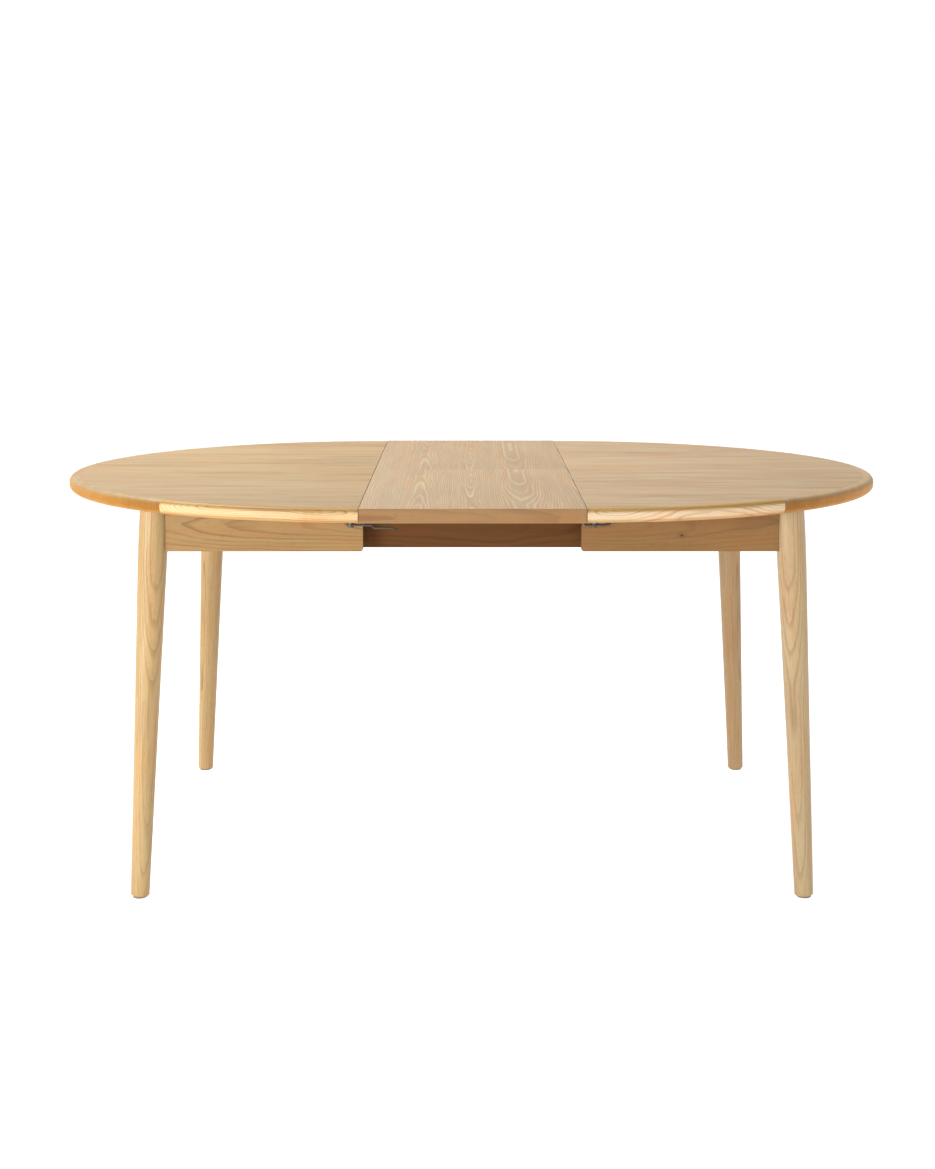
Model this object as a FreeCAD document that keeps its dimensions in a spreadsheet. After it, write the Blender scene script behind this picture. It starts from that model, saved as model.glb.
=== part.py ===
"""Extending dining table with semicircular ends and a fold-in-half centre leaf.

Frame: millimetres, origin on the floor under the middle of the table, X along the
extension direction, +Y to the back, +Z up. The rest pose is the table extended with
its leaf in place.
"""
import FreeCAD
import Part
import Sketcher
import math
import os

V = FreeCAD.Vector
ROT = FreeCAD.Rotation

# ---------------------------------------------------------------- driving dimensions
DIMS = {
    "table_height": 750.0,        # floor to table top
    "top_thick": 25.0,
    "top_radius": 605.0,          # radius of each half-round end
    "leaf_width": 390.0,          # seam to seam
    "seam_gap": 1.0,              # leaf edge to half-top edge
    "band_depth": 20.0,           # solid edge band of the half tops
    "band_round": 10.0,
    "end_band_angle": 108.0,      # arc of the end segment of the band
    "lip_depth": 2.0,             # thin solid lipping on the leaf's short ends
    "mid_gap": 0.3,               # gap between the two leaf halves
    "apron_face": 415.0,          # centre plane to front face of the long aprons
    "apron_thick": 22.0,
    "apron_bottom": 647.0,
    "apron_start": 197.5,         # first point of the apron from the middle
    "apron_round": 5.0,
    "leg_x": 575.0,               # leg axis under the top
    "leg_y": 400.0,
    "foot_x": 618.0,              # leg axis at the floor
    "foot_y": 432.0,
    "leg_foot_radius": 17.2,
    "leg_max_radius": 26.4,       # thickest at the foot of the aprons
    "leg_max_z": 650.0,
    "leg_swell_radius": 2630.0,   # long arc from the taper to the top of the leg
    "leg_taper_z": 586.0,         # straight taper below this height
    "leg_chamfer": 3.0,
    "joint_gap": 0.5,             # shadow gap between apron and leg
    "end_apron_face": 594.0,
    "block_near": 497.0,          # corner block, start along the long apron
    "block_far": 532.0,
    "block_low": 657.0,
    "block_high": 717.0,
    "bolt_radius": 4.0,
    "bolt_clear": 4.5,
    "bolt_length": 69.0,
    "bolt_inset": 2.0,            # bolt start, past the leg axis
    "leg_bore": 40.0,
    "block_bore": 120.0,
    "press_fit": 0.02,            # radial room of pressed pins and bolts
    "nut_radius": 7.5,
    "nut_high": 7.0,
    "washer_radius": 10.0,
    "washer_thick": 1.5,
    "bolt_low": 670.0,
    "bolt_high": 704.0,
    "glide_radius": 13.0,
    "glide_thick": 2.0,
    "rail_face": 380.0,           # centre plane to outer face of the inner rails
    "rail_thick": 20.0,
    "rail_bottom": 649.0,
    "rail_top": 724.0,
    "rail_end": 330.0,
    "cross_in": 230.0,
    "cross_thick": 20.0,
    "cross_top": 715.0,
    "bearer_in": 120.0,
    "bearer_width": 45.0,
    "bearer_top": 664.4,
    "slide_mid": 682.5,           # centre height of the steel slides
    "slide_height": 45.0,
    "slide_metal": 1.6,
    "slide_depth": 11.0,
    "channel_start": 200.0,       # hidden behind the end of the apron
    "channel_end": 328.0,
    "runner_start": 205.0,
    "runner_end": 490.0,
    "runner_height": 33.0,
    "runner_depth": 9.0,
    "ball_radius": 2.1,
    "ball_row": 387.5,
    "ball_start": 214.0,
    "ball_pitch": 17.0,
    "cage_start": 208.0,
    "cage_end": 322.0,
    "cage_face": 382.3,
    "cage_metal": 0.8,
    "cage_depth": 7.4,
    "cleat_high": 18.0,
    "cleat_thick": 11.5,
    "cleat_start": 340.0,
    "end_cleat_half": 240.0,
    "shaft_y_front": -198.0,      # fixed pivots of the swing arms
    "shaft_y_rear": -13.0,
    "shaft_z": 639.35,
    "shaft_radius": 5.0,
    "shaft_end": 229.5,
    "shaft_fit": 0.05,
    "arm_radius": 159.68,         # pivot to pivot
    "arm_angle": 153.74,          # arm direction in the rest pose, from +Y to +Z
    "arm_half_width": 9.0,
    "arm_in": 172.0,
    "arm_thick": 5.0,
    "pin_radius": 4.0,
    "pin_z": 710.0,
    "ear_in": 179.0,
    "ear_thick": 6.0,
    "ear_half": 10.0,
    "ear_low": 700.0,
    "ear_flange": 13.0,
    "flange_half": 15.0,
    "flange_thick": 3.0,
    "pin_proud": 1.0,             # pivot pin past the arm
    "pin_rooted": 2.0,            # pivot pin into the ear
    "support_in": 222.0,
    "support_thick": 8.0,
    "support_half": 15.0,
    "support_low": 628.0,
    "support_high": 702.0,
    "hinge_axis_rise": 0.15,      # fold axis above the table top
    "hinge_pitch": 130.0,
    "link_in": 11.0,
    "link_out": 14.0,
    "link_width": 6.0,
    "link_arc": 164.0,
    "pocket_in": 9.5,
    "pocket_out": 15.5,
    "pocket_width": 8.0,
    "pocket_arc": 84.0,
    "latch_x": 209.0,
    "latch_y": 572.0,
    "latch_plate_radius": 12.0,
    "latch_plate_thick": 2.5,
    "latch_boss_radius": 5.0,
    "latch_pin_radius": 3.0,
    "latch_head_thick": 2.5,
    "latch_gap": 0.2,             # room above and below the lever
    "lever_low": 716.5,
    "lever_thick": 2.5,
    "lever_half_width": 7.0,
    "lever_step": 35.0,           # long lever: first point of its step down
    "lever_drop": 5.0,
    "lever_bend": 70.0,           # where its tip turns down
    "lever_long": 81.0,
    "tip_drop": 4.5,
    "lever_nose": 22.0,           # short lever: reach towards the leaf
    "lever_tail": 29.0,
    "tail_bend": 18.0,
    "tail_rise": 2.5,
    "pad_offset": 22.0,
    "pad_offset_short": 17.5,
    "pad_radius": 4.2,
    "pad_gap": 0.4,
}

doc = FreeCAD.newDocument("extending_table")
sheet = doc.addObject("Spreadsheet::Sheet", "dims")
for row, (name, value) in enumerate(DIMS.items(), start=1):
    sheet.set("A%d" % row, name)
    sheet.set("B%d" % row, "%g" % value)
    sheet.setAlias("B%d" % row, name)
doc.recompute()


class Q:
    """A number that also carries the sheet formula it comes from."""

    def __init__(self, value, text):
        self.value = float(value)
        self.text = text

    def __add__(self, other):
        other = lift(other)
        return Q(self.value + other.value, "(%s + %s)" % (self.text, other.text))

    def __sub__(self, other):
        other = lift(other)
        return Q(self.value - other.value, "(%s - %s)" % (self.text, other.text))

    def __mul__(self, other):
        other = lift(other)
        return Q(self.value * other.value, "(%s * %s)" % (self.text, other.text))

    def __truediv__(self, other):
        other = lift(other)
        return Q(self.value / other.value, "(%s / %s)" % (self.text, other.text))

    def __neg__(self):
        return Q(-self.value, "(0 - %s)" % self.text)

    def __radd__(self, other):
        return lift(other) + self

    def __rsub__(self, other):
        return lift(other) - self


def lift(number):
    if isinstance(number, Q):
        return number
    return Q(number, "%g" % number)


def d(name):
    return Q(DIMS[name], "dims.%s" % name)


# ---------------------------------------------------------------- building blocks
def bind(obj, prop, quantity):
    obj.setExpression(prop, lift(quantity).text)


def place(obj, x, y, z, rotation=None):
    x, y, z = lift(x), lift(y), lift(z)
    obj.Placement = FreeCAD.Placement(V(x.value, y.value, z.value), rotation or ROT())
    for axis, quantity in (("x", x), ("y", y), ("z", z)):
        bind(obj, "Placement.Base.%s" % axis, quantity)


def box(name, x0, x1, y0, y1, z0, z1):
    obj = doc.addObject("Part::Box", name)
    bind(obj, "Length", lift(x1) - x0)
    bind(obj, "Width", lift(y1) - y0)
    bind(obj, "Height", lift(z1) - z0)
    place(obj, x0, y0, z0)
    return obj


TO_X = ROT(V(0, 1, 0), 90)                # cylinder axis from +Z to +X
FAN_X = ROT(V(1, 1, 1), 120)              # axis to +X, start direction to +Y


def rod(name, radius, length, x, y, z, rotation=None, angle=None):
    obj = doc.addObject("Part::Cylinder", name)
    bind(obj, "Radius", radius)
    bind(obj, "Height", length)
    if angle is not None:
        bind(obj, "Angle", angle)
    place(obj, x, y, z, rotation)
    return obj


def ball(name, radius, x, y, z):
    obj = doc.addObject("Part::Sphere", name)
    bind(obj, "Radius", radius)
    place(obj, x, y, z)
    return obj


def cut(name, base, tool):
    obj = doc.addObject("Part::Cut", name)
    obj.Base = base
    obj.Tool = tool
    return obj


def common(name, base, tool):
    obj = doc.addObject("Part::Common", name)
    obj.Base = base
    obj.Tool = tool
    return obj


def fuse(name, shapes):
    obj = doc.addObject("Part::MultiFuse", name)
    obj.Shapes = shapes
    return obj


def group(name, shapes):
    obj = doc.addObject("Part::Compound", name)
    obj.Links = shapes
    return obj


def mirror(name, source, normal):
    obj = doc.addObject("Part::Mirroring", name)
    obj.Source = source
    obj.Normal = normal
    obj.Base = V(0, 0, 0)
    return obj


LEFT = V(1, 0, 0)                         # mirror planes through the middle
BACK = V(0, 1, 0)


def origin_feature(body, role):
    return [f for f in body.Origin.OriginFeatures if f.Role == role][0]


def sketch_on(body, role, outline, holes=()):
    """Closed outline, counter-clockwise. A point is (x, y) or (x, y, radius, cx, cy):
    the second form starts an arc about (cx, cy) that ends at the next point."""
    sketch = body.newObject("Sketcher::SketchObject", body.Name + "_outline")
    sketch.AttachmentSupport = [(origin_feature(body, role), "")]
    sketch.MapMode = "FlatFace"
    count = len(outline)
    ends = [V(lift(p[0]).value, lift(p[1]).value, 0) for p in outline]
    for i, point in enumerate(outline):
        start, end = ends[i], ends[(i + 1) % count]
        if len(point) == 2:
            sketch.addGeometry(Part.LineSegment(start, end))
            continue
        centre = V(lift(point[3]).value, lift(point[4]).value, 0)
        circle = Part.Circle(centre, V(0, 0, 1), lift(point[2]).value)
        a0 = math.atan2(start.y - centre.y, start.x - centre.x)
        a1 = math.atan2(end.y - centre.y, end.x - centre.x)
        if a1 < a0:
            a1 += 2 * math.pi
        sketch.addGeometry(Part.ArcOfCircle(circle, a0, a1))
    for i in range(count):
        sketch.addConstraint(Sketcher.Constraint("Coincident", i, 2, (i + 1) % count, 1))

    def pin(kind, args, quantity):
        quantity = lift(quantity)
        index = sketch.addConstraint(Sketcher.Constraint(kind, *args, quantity.value))
        sketch.setExpression("Constraints[%d]" % index, quantity.text)

    for i, point in enumerate(outline):
        pin("DistanceX", (-1, 1, i, 1), point[0])
        pin("DistanceY", (-1, 1, i, 1), point[1])
        if len(point) > 2:
            chord = ends[(i + 1) % count] - ends[i]
            upright = abs(chord.y) >= abs(chord.x)
            kind, centre = ("DistanceX", point[3]) if upright else ("DistanceY", point[4])
            pin(kind, (-1, 1, i, 3), centre)
    for x, y, radius in holes:
        x, y, radius = lift(x), lift(y), lift(radius)
        circle = Part.Circle(V(x.value, y.value, 0), V(0, 0, 1), radius.value)
        index = sketch.addGeometry(circle)
        pin("DistanceX", (-1, 1, index, 3), x)
        pin("DistanceY", (-1, 1, index, 3), y)
        pin("Radius", (index,), radius)
    return sketch


def padded(name, role, outline, length, holes=()):
    body = doc.addObject("PartDesign::Body", name)
    sketch = sketch_on(body, role, outline, holes)
    pad = body.newObject("PartDesign::Pad", name + "_pad")
    pad.Profile = sketch
    bind(pad, "Length", length)
    return body


def turned(name, outline, angle=360.0):
    """Outline in the XZ plane turned about Z, half of the angle to each side."""
    body = doc.addObject("PartDesign::Body", name)
    sketch = sketch_on(body, "XZ_Plane", outline)
    turn = body.newObject("PartDesign::Revolution", name + "_turn")
    turn.Profile = sketch
    turn.ReferenceAxis = (origin_feature(body, "Z_Axis"), [""])
    turn.Midplane = True
    bind(turn, "Angle", angle)
    return body


NODES = []


def node(obj, label):
    obj.Label = label
    NODES.append(obj)
    return obj


def both_sides(obj, label):
    """A right-hand sub-part and its mirror image on the left half."""
    node(obj, "right_" + label)
    node(mirror("left_" + label, obj, LEFT), "left_" + label)


# ---------------------------------------------------------------- shared levels
seam = d("leaf_width") / 2
top = d("table_height")
under = top - d("top_thick")
apron_back = d("apron_face") - d("apron_thick")
end_apron_back = d("end_apron_face") - d("apron_thick")

# ---------------------------------------------------------------- half tops
panel_radius = d("top_radius") - d("band_depth")
panel = rod("right_top_panel", panel_radius, d("top_thick"), seam, 0, under,
            ROT(V(0, 0, -1), 90), 180)
both_sides(panel, "top_panel")


def edge_band(name, angle):
    outer = d("top_radius")
    shoulder = outer - d("band_round")
    low = under + d("band_round")
    high = top - d("band_round")
    outline = [
        (panel_radius, under),
        (shoulder, under, d("band_round"), shoulder, low),
        (outer, low),
        (outer, high, d("band_round"), shoulder, high),
        (shoulder, top),
        (panel_radius, top),
    ]
    return turned(name, outline, angle)


end_band = edge_band("right_end_band", d("end_band_angle"))
place(end_band, seam, 0, 0)
both_sides(end_band, "end_band")

side_angle = 90 - d("end_band_angle") / 2
side_turn = 90 - side_angle / 2
front_band = edge_band("right_front_band", side_angle)
place(front_band, seam, 0, 0, ROT(V(0, 0, -1), side_turn.value))
bind(front_band, "Placement.Rotation.Angle", side_turn)
both_sides(front_band, "front_band")
both_sides(mirror("right_back_band", front_band, BACK), "back_band")

# ---------------------------------------------------------------- legs
leg_span = under - d("glide_thick")
splay_x = (d("foot_x") - d("leg_x")).value
splay_y = (d("foot_y") - d("leg_y")).value
leg_axis = V(-splay_x, splay_y, under.value)           # foot to top, front right leg
LEAN = ROT(V(0, 0, 1), leg_axis)
SPARE = 40.0                                           # cut off flush at both ends
REACH = 200.0                                          # trimming blocks past the leg axis
OVERCUT = 1.0                                          # tools past the face they cut


def leg_radius(z, grow):
    """Radius of the swelling upper part of the leg at a height."""
    rise = lift(z) - d("leg_max_z")
    return d("leg_max_radius") + grow - rise * rise / (d("leg_swell_radius") * 2)


def leg_blank(name, grow):
    """Turned leg with a swelling top and spare length above and below."""
    knee = leg_radius(d("leg_taper_z"), grow)
    foot = d("leg_foot_radius") + grow
    low = foot - (knee - foot) / d("leg_taper_z") * SPARE
    high = under + SPARE
    outline = [
        (0, -SPARE),
        (low, -SPARE),
        (knee, d("leg_taper_z"), d("leg_swell_radius"),
         d("leg_max_radius") + grow - d("leg_swell_radius"), d("leg_max_z")),
        (leg_radius(high, grow), high),
        (0, high),
    ]
    body = turned(name, outline)
    place(body, d("foot_x"), -d("foot_y"), 0, LEAN)
    return body


def bolt_rods(prefix, radius, start, length):
    """Two parallel rods at 45 degrees through the front right corner block."""
    aim = ROT(V(0, 0, 1), V(-1, 1, 0))
    return [rod("%s_%d" % (prefix, i), radius, length, d("leg_x") - start,
                -d("leg_y") + start, z, aim)
            for i, z in enumerate((d("bolt_low"), d("bolt_high")))]


leg_slab = box("leg_slab", d("leg_x") - REACH, d("leg_x") + REACH, -d("leg_y") - REACH,
               REACH - d("leg_y"), d("glide_thick"), under)
leg_full = common("leg_full", leg_blank("leg_blank", 0), leg_slab)
chamfer_inner = d("leg_foot_radius") - d("leg_chamfer") * 2
chamfer_outer = d("leg_foot_radius") + d("leg_chamfer")
chamfer_low = d("glide_thick") - d("leg_chamfer")
chamfer_high = d("glide_thick") + d("leg_chamfer") * 2
foot_trim = turned("foot_trim", [
    (chamfer_inner, chamfer_low),
    (REACH, chamfer_low),
    (REACH, chamfer_high),
    (chamfer_outer, chamfer_high),
])
place(foot_trim, d("foot_x"), -d("foot_y"), 0, LEAN)
leg_trimmed = cut("leg_trimmed", leg_full, foot_trim)
leg_bores = fuse("leg_bores", bolt_rods("leg_bore", d("bolt_radius") + d("press_fit"), 0,
                                        d("leg_bore")))
front_leg = cut("right_front_leg", leg_trimmed, leg_bores)
both_sides(front_leg, "front_leg")
both_sides(mirror("right_back_leg", front_leg, BACK), "back_leg")

glide = rod("glide_front", d("glide_radius"), d("glide_thick"), d("foot_x"),
            -d("foot_y"), 0)
both_sides(group("right_glides", [glide, mirror("glide_back", glide, BACK)]), "glides")

# ---------------------------------------------------------------- aprons
leg_clear = leg_blank("leg_clear", d("joint_gap"))
bottom = d("apron_bottom")
start = d("apron_start")
rounding = d("apron_round")
apron_blank = padded("apron_blank", "XZ_Plane", [
    (start + rounding, bottom),
    (d("leg_x"), bottom),
    (d("leg_x"), under),
    (start, under),
    (start, bottom + rounding, rounding, start + rounding, bottom + rounding),
], d("apron_thick"))
place(apron_blank, 0, -apron_back, 0)
front_apron = cut("right_front_apron", apron_blank, leg_clear)
both_sides(front_apron, "front_apron")
both_sides(mirror("right_back_apron", front_apron, BACK), "back_apron")

end_blank = box("end_apron_blank", end_apron_back, d("end_apron_face"), -d("leg_y"),
                d("leg_y"), bottom, under)
leg_clear_back = mirror("leg_clear_back", leg_clear, BACK)
end_apron = cut("right_end_apron", end_blank, fuse("leg_clears", [leg_clear, leg_clear_back]))
both_sides(end_apron, "end_apron")

# ---------------------------------------------------------------- corner blocks and bolts
reach_near = end_apron_back - d("block_near")
reach_far = end_apron_back - d("block_far")
block_blank = padded("corner_block_blank", "XY_Plane", [
    (d("block_near"), -apron_back),
    (d("block_far"), -apron_back),
    (end_apron_back, reach_far - apron_back),
    (end_apron_back, reach_near - apron_back),
], d("block_high") - d("block_low"))
place(block_blank, 0, 0, d("block_low"))
block_bores = fuse("block_bores", bolt_rods("block_bore", d("bolt_clear"), 0,
                                            d("block_bore")))
corner_block = cut("corner_block_front", block_blank, block_bores)
both_sides(group("right_corner_blocks",
                 [corner_block, mirror("corner_block_back", corner_block, BACK)]),
           "corner_blocks")

washer_start = (d("leg_x") + d("leg_y") - d("block_near") - apron_back) / 2
nut_start = washer_start + d("washer_thick") / math.sqrt(2)
bolts = bolt_rods("bolt", d("bolt_radius"), d("bolt_inset"), d("bolt_length"))
nuts = bolt_rods("nut", d("nut_radius"), nut_start, d("nut_high"))
washers = bolt_rods("washer", d("washer_radius"), washer_start, d("washer_thick"))
bolt_set = [fuse("bolt_set_%d" % i, trio) for i, trio in enumerate(zip(bolts, nuts, washers))]
bolt_back = [mirror("bolt_back_%d" % i, bolt, BACK) for i, bolt in enumerate(bolt_set)]
both_sides(group("right_leg_bolts", bolt_set + bolt_back), "leg_bolts")

# ---------------------------------------------------------------- cleats under the top
cleat_low = under - d("cleat_high")
front_cleat = box("cleat_front", d("cleat_start"), d("runner_end"), -apron_back,
                  d("cleat_thick") - apron_back, cleat_low, under)
end_cleat = box("cleat_end", end_apron_back - d("cleat_high"), end_apron_back,
                -d("end_cleat_half"), d("end_cleat_half"), cleat_low, under)
both_sides(group("right_top_cleats",
                 [front_cleat, mirror("cleat_back", front_cleat, BACK), end_cleat]),
           "top_cleats")

# ---------------------------------------------------------------- inner frame
rail_back = d("rail_face") - d("rail_thick")
front_rail = box("front_rail", -d("rail_end"), d("rail_end"), -d("rail_face"), -rail_back,
                 d("rail_bottom"), d("rail_top"))
node(front_rail, "front_rail")
node(mirror("back_rail", front_rail, BACK), "back_rail")

cross_out = d("cross_in") + d("cross_thick")
right_cross = box("right_cross_rail", d("cross_in"), cross_out, -rail_back, rail_back,
                  d("rail_bottom"), d("cross_top"))
both_sides(right_cross, "cross_rail")

bearer = box("bearer_right", d("bearer_in"), d("bearer_in") + d("bearer_width"),
             -rail_back, rail_back, d("rail_bottom"), d("bearer_top"))
node(group("leaf_bearers", [bearer, mirror("bearer_left", bearer, LEFT)]), "leaf_bearers")

# ---------------------------------------------------------------- steel slides
metal = d("slide_metal")


def four_corners(name, shape, label):
    """The front right piece repeated at the other three corners as one sub-part."""
    back = mirror(name + "_back", shape, BACK)
    pair = group(name + "_pair", [shape, back])
    pair_left = mirror(name + "_pair_left", pair, LEFT)
    return node(group(name, [pair, pair_left]), label)


half_channel = d("slide_height") / 2
channel_low = d("slide_mid") - half_channel
channel_high = d("slide_mid") + half_channel
face = -d("rail_face")
channel = fuse("channel", [
    box("channel_web", d("channel_start"), d("channel_end"), face - metal, face,
        channel_low, channel_high),
    box("channel_top", d("channel_start"), d("channel_end"), face - d("slide_depth"), face,
        channel_high - metal, channel_high),
    box("channel_foot", d("channel_start"), d("channel_end"), face - d("slide_depth"), face,
        channel_low, channel_low + metal),
])
four_corners("slide_channels", channel, "slide_channels")

half_runner = d("runner_height") / 2
runner_low = d("slide_mid") - half_runner
runner_high = d("slide_mid") + half_runner
wall = -apron_back
runner = fuse("runner", [
    box("runner_web", d("runner_start"), d("runner_end"), wall, wall + metal,
        runner_low, runner_high),
    box("runner_top", d("runner_start"), d("runner_end"), wall, wall + d("runner_depth"),
        runner_high - metal, runner_high),
    box("runner_foot", d("runner_start"), d("runner_end"), wall, wall + d("runner_depth"),
        runner_low, runner_low + metal),
])
both_sides(group("right_slide_runners", [runner, mirror("runner_back", runner, BACK)]),
           "slide_runners")

ball_gap = (half_channel - metal - half_runner) / 2
ball_high = runner_high + ball_gap
ball_low = runner_low - ball_gap
cage_half = d("cage_metal") / 2
cage_face = -d("cage_face")
cage_shapes = [
    box("cage_web", d("cage_start"), d("cage_end"), cage_face - d("cage_metal"), cage_face,
        ball_low - cage_half, ball_high + cage_half),
    box("cage_top", d("cage_start"), d("cage_end"), cage_face - d("cage_depth"), cage_face,
        ball_high - cage_half, ball_high + cage_half),
    box("cage_foot", d("cage_start"), d("cage_end"), cage_face - d("cage_depth"), cage_face,
        ball_low - cage_half, ball_low + cage_half),
]
BALLS_PER_ROW = 7
for i in range(BALLS_PER_ROW):
    x = d("ball_start") + d("ball_pitch") * i
    for row, z in (("high", ball_high), ("low", ball_low)):
        cage_shapes.append(ball("ball_%s_%d" % (row, i), d("ball_radius"), x,
                                -d("ball_row"), z))
cage = fuse("cage", cage_shapes)
both_sides(group("right_ball_cages", [cage, mirror("cage_back", cage, BACK)]), "ball_cages")

# ---------------------------------------------------------------- swing arms of the leaf
ARM_TURN = ROT(V(1, 0, 0), DIMS["arm_angle"])
shaft_hole = d("shaft_radius") + d("shaft_fit")
pin_hole = d("pin_radius") + d("shaft_fit")


def swing_arms(label, y):
    half = d("arm_half_width")
    length = d("arm_radius")
    outline = [
        (0, -half),
        (length, -half, half, length, 0),
        (length, half),
        (0, half, half, 0, 0),
    ]
    arm = padded(label + "_arm", "YZ_Plane", outline, d("arm_thick"),
                 [(0, 0, d("shaft_radius") + d("press_fit")), (length, 0, pin_hole)])
    place(arm, d("arm_in"), y, d("shaft_z"), ARM_TURN)
    node(group(label, [arm, mirror(label + "_arm_left", arm, LEFT)]), label)


def arm_shaft(label, y):
    node(rod(label, d("shaft_radius"), d("shaft_end") * 2, -d("shaft_end"), y,
             d("shaft_z"), TO_X), label)


swing_arms("front_swing_arms", d("shaft_y_front"))
swing_arms("rear_swing_arms", d("shaft_y_rear"))
arm_shaft("front_arm_shaft", d("shaft_y_front"))
arm_shaft("rear_arm_shaft", d("shaft_y_rear"))


def shaft_support(name, y):
    half = d("support_half")
    plate = box(name + "_plate", d("support_in"), d("support_in") + d("support_thick"),
                y - half, y + half, d("support_low"), d("support_high"))
    bore = rod(name + "_bore", shaft_hole, d("support_thick") + 2 * OVERCUT,
               d("support_in") - OVERCUT, y, d("shaft_z"), TO_X)
    return cut(name, plate, bore)


supports = [shaft_support("support_front", d("shaft_y_front")),
            shaft_support("support_rear", d("shaft_y_rear"))]
supports_left = [mirror(s.Name + "_left", s, LEFT) for s in supports]
node(group("shaft_supports", supports + supports_left), "shaft_supports")

# ---------------------------------------------------------------- centre leaf
leaf_half = seam - d("seam_gap")
edge = d("top_radius")
lip_start = edge - d("lip_depth")
mid = d("mid_gap") / 2
hinge_z = top + d("hinge_axis_rise")


def fan(name, inner, outer, width, x, first, arc):
    """Ring sector about the fold axis, from the first angle (from +Y to +Z)."""
    turn = ROT(V(1, 0, 0), first) * FAN_X
    disc = rod(name + "_disc", outer, width, x - width / 2, 0, hinge_z, turn, arc)
    core = rod(name + "_core", inner, width + 2 * OVERCUT, x - width / 2 - OVERCUT, 0,
               hinge_z, turn)
    return cut(name, disc, core)


def hinge_row(name, inner, outer, width, first, arc):
    return [fan("%s_%d" % (name, i), d(inner), d(outer), d(width), d("hinge_pitch") * i,
                first, d(arc)) for i in (-1, 0, 1)]


FRONT_FIRST = 270 - DIMS["pocket_arc"]
LINK_FIRST = 270 - DIMS["link_arc"] / 2


def leaf_panel(label, y0, y1, first):
    blank = box(label + "_blank", -leaf_half, leaf_half, y0, y1, under, top)
    pockets = fuse(label + "_pockets", hinge_row(label + "_pocket", "pocket_in",
                                                 "pocket_out", "pocket_width", first,
                                                 "pocket_arc"))
    node(cut(label, blank, pockets), label)


leaf_panel("leaf_front_panel", -lip_start, -mid, FRONT_FIRST)
leaf_panel("leaf_back_panel", mid, lip_start, 270)

front_lip = box("leaf_front_lipping", -leaf_half, leaf_half, -edge, -lip_start, under, top)
node(front_lip, "leaf_front_lipping")
node(mirror("leaf_back_lipping", front_lip, BACK), "leaf_back_lipping")
node(group("leaf_hinge_links", hinge_row("link", "link_in", "link_out", "link_width",
                                         LINK_FIRST, "link_arc")), "leaf_hinge_links")

pin_shift = d("arm_radius") * math.cos(math.radians(DIMS["arm_angle"]))


def leaf_ear(name, y):
    half = d("ear_half")
    inner = d("ear_in")
    return fuse(name, [
        box(name + "_plate", inner, inner + d("ear_thick"), y - half, y + half,
            d("ear_low"), under),
        box(name + "_flange", inner, inner + d("ear_flange"), y - d("flange_half"),
            y + d("flange_half"), under - d("flange_thick"), under),
        rod(name + "_pin", d("pin_radius"),
            inner - d("arm_in") + d("pin_proud") + d("pin_rooted"),
            d("arm_in") - d("pin_proud"), y, d("pin_z"), TO_X),
    ])


ears = [leaf_ear("ear_front", d("shaft_y_front") + pin_shift),
        leaf_ear("ear_rear", d("shaft_y_rear") + pin_shift)]
ears_left = [mirror(e.Name + "_left", e, LEFT) for e in ears]
node(group("leaf_pivot_brackets", ears + ears_left), "leaf_pivot_brackets")

# ---------------------------------------------------------------- leaf latches
lever_high = d("lever_low") + d("lever_thick")
boss_low = lever_high + d("latch_gap")
head_high = d("lever_low") - d("latch_gap")
plate_low = under - d("latch_plate_thick")


def latch_plate(name, x, y):
    return fuse(name, [
        rod(name + "_disc", d("latch_plate_radius"), d("latch_plate_thick"), x, y, plate_low),
        rod(name + "_boss", d("latch_boss_radius"), plate_low - boss_low, x, y, boss_low),
        rod(name + "_pin", d("latch_pin_radius"),
            plate_low - head_high + d("latch_head_thick") / 2, x, y,
            head_high - d("latch_head_thick") / 2),
        rod(name + "_head", d("latch_boss_radius"), d("latch_head_thick"), x, y,
            head_high - d("latch_head_thick")),
    ])


plate_front = latch_plate("latch_plate_front", d("latch_x"), -d("latch_y"))
both_sides(group("right_latch_plates",
                 [plate_front, mirror("latch_plate_back", plate_front, BACK)]),
           "latch_plates")


def lever(label, x_sign, y_sign, line, pad_offset):
    """Bent strip on a vertical pivot. The line is its underside seen from the side, from
    its outer end to its inner end: distances from the pivot towards the middle of the
    table, and heights above the underside at the pivot."""
    half = d("lever_half_width")
    thick = d("lever_thick")
    towards = -x_sign
    turn = ROT() if towards > 0 else ROT(V(0, 0, 1), 180)
    x = d("latch_x") * x_sign
    y = d("latch_y") * y_sign
    upper = [(px, lift(pz) + thick) for px, pz in reversed(line)]
    strip = padded(label + "_strip", "XZ_Plane", line + upper, half * 2)
    place(strip, x, y + half * towards, d("lever_low"), turn)
    start, end = line[0][0] + half, line[-1][0] - half
    plan = padded(label + "_plan", "XY_Plane", [
        (start, -half),
        (end, -half, half, end, 0),
        (end, half),
        (start, half, half, start, 0),
    ], thick * 10, [(0, 0, d("latch_pin_radius") + d("shaft_fit"))])
    place(plan, x, y, d("lever_low") - thick * 5, turn)
    arm = common(label + "_arm", strip, plan)
    pad = rod(label + "_pad", d("pad_radius"), under - lever_high - d("pad_gap"),
              x + pad_offset * towards, y, lever_high)
    node(fuse(label, [arm, pad]), label)


lower = -d("lever_drop")
step_end = d("lever_step") + d("lever_drop")
long_line = [
    (-d("lever_half_width"), 0),
    (d("lever_step"), 0),
    (step_end, lower),
    (d("lever_bend"), lower),
    (d("lever_long"), lower - d("tip_drop")),
]
short_line = [
    (-d("lever_tail"), d("tail_rise")),
    (-d("tail_bend"), 0),
    (d("lever_nose"), 0),
]
lever("lever_front_left", -1, -1, long_line, d("pad_offset"))
lever("lever_front_right", 1, -1, short_line, d("pad_offset_short"))
lever("lever_back_left", -1, 1, short_line, d("pad_offset_short"))
lever("lever_back_right", 1, 1, long_line, d("pad_offset"))

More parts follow.
